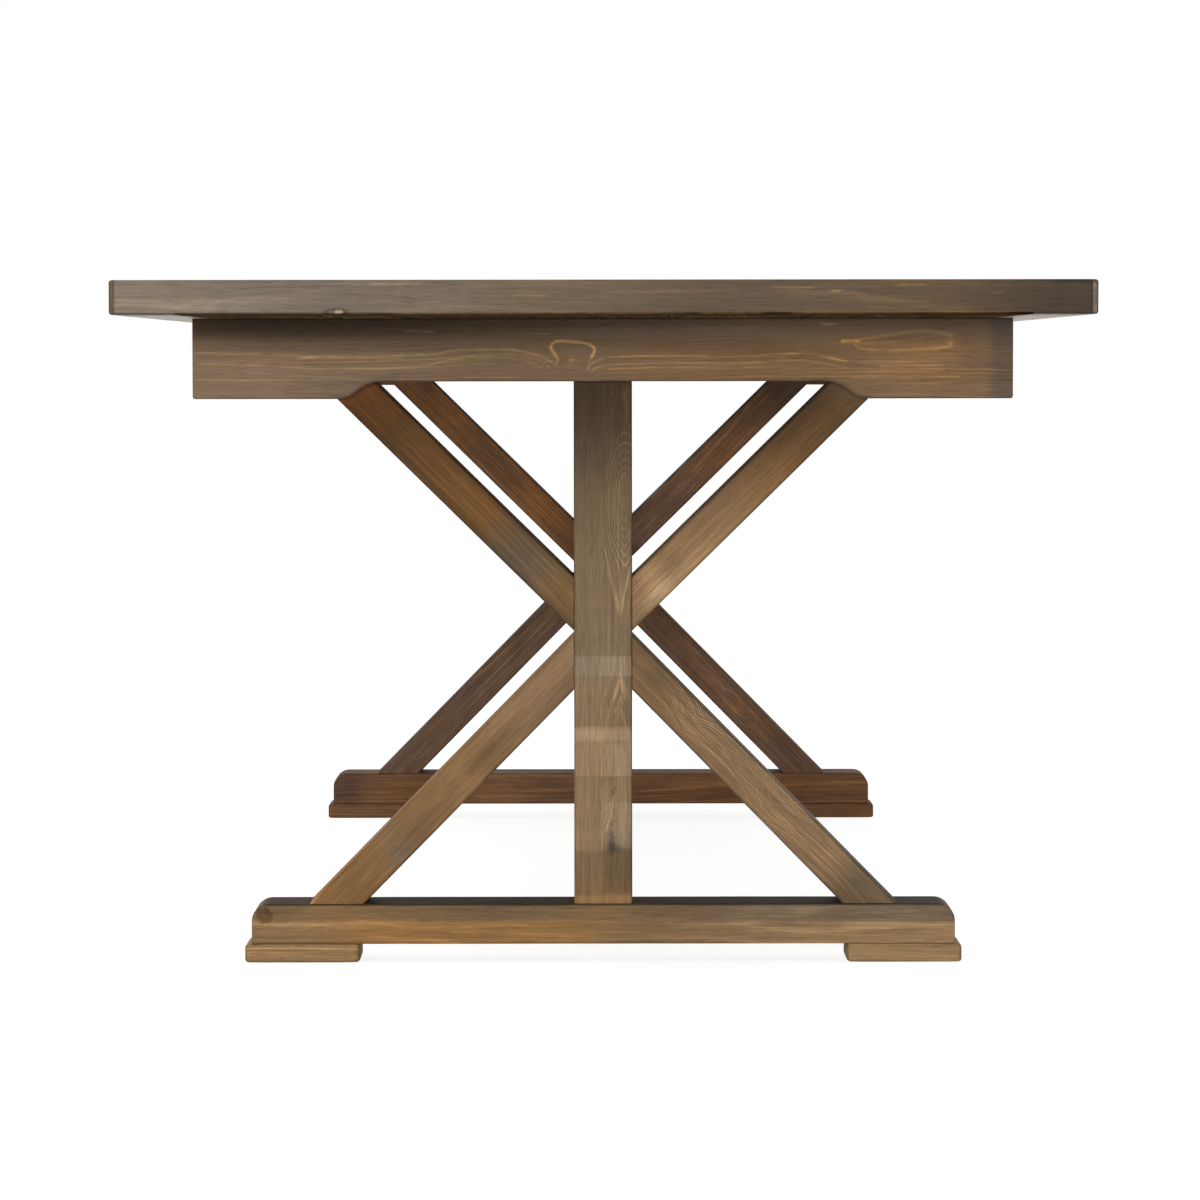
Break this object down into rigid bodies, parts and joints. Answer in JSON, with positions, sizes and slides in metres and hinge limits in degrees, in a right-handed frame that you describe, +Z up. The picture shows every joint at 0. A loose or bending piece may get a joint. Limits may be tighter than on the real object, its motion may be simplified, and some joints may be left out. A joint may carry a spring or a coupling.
{
  "type": "sawbuck table",
  "caption": "Rectangular trestle dining table: plank top with breadboard ends and arched end aprons, on two post-and-diagonal-brace trestles with padded feet, joined by a low stretcher.",
  "frame": {"origin": "on the floor, under the middle of the top", "axes": "+Z up, +Y along the table's length towards the rear end, +X across its width to the right"},
  "size_m": [1.016, 2.438, 0.765],
  "materials": {
    "top_planks": "matt grey-brown wax over wire-brushed softwood",
    "breadboards": "matt grey-brown wax over wire-brushed softwood",
    "end_aprons": "matt warm brown stain",
    "posts": "matt grey-brown stain, figured grain",
    "braces": "matt warm brown stain",
    "foot_beams": "matt warm brown stain",
    "foot_pads": "matt light brown stain",
    "rails_and_batten": "matt brown stain",
    "stretcher": "matt brown stain",
    "splines_pegs_dowels": "bare hardwood",
    "steel_screws": "yellow-passivated, dulled"
  },
  "bodies": {
    "root": {"breadboard_pegs": "splines_pegs_dowels", "front_apron_screws": "steel_screws", "front_brace_dowels": "splines_pegs_dowels", "front_breadboard": "breadboards", "front_end_apron": "end_aprons", "front_foot_beam": "foot_beams", "front_foot_pad_left": "foot_pads", "front_foot_pad_right": "foot_pads", "front_foot_pad_screws": "steel_screws", "front_lower_brace_left": "braces", "front_lower_brace_right": "braces", "front_post": "posts", "front_top_rail": "rails_and_batten", "front_top_screws": "steel_screws", "front_upper_brace_left": "braces", "front_upper_brace_right": "braces", "middle_batten": "rails_and_batten", "middle_batten_screws": "steel_screws", "plank_1": "top_planks", "plank_2": "top_planks", "plank_3": "top_planks", "plank_4": "top_planks", "plank_5": "top_planks", "plank_6": "top_planks", "plank_7": "top_planks", "plank_splines": "splines_pegs_dowels", "rear_apron_screws": "steel_screws", "rear_brace_dowels": "splines_pegs_dowels", "rear_breadboard": "breadboards", "rear_end_apron": "end_aprons", "rear_foot_beam": "foot_beams", "rear_foot_pad_left": "foot_pads", "rear_foot_pad_right": "foot_pads", "rear_foot_pad_screws": "steel_screws", "rear_lower_brace_left": "braces", "rear_lower_brace_right": "braces", "rear_post": "posts", "rear_top_rail": "rails_and_batten", "rear_top_screws": "steel_screws", "rear_upper_brace_left": "braces", "rear_upper_brace_right": "braces", "stretcher": "stretcher", "stretcher_pegs": "splines_pegs_dowels"}
  },
  "joints": []
}
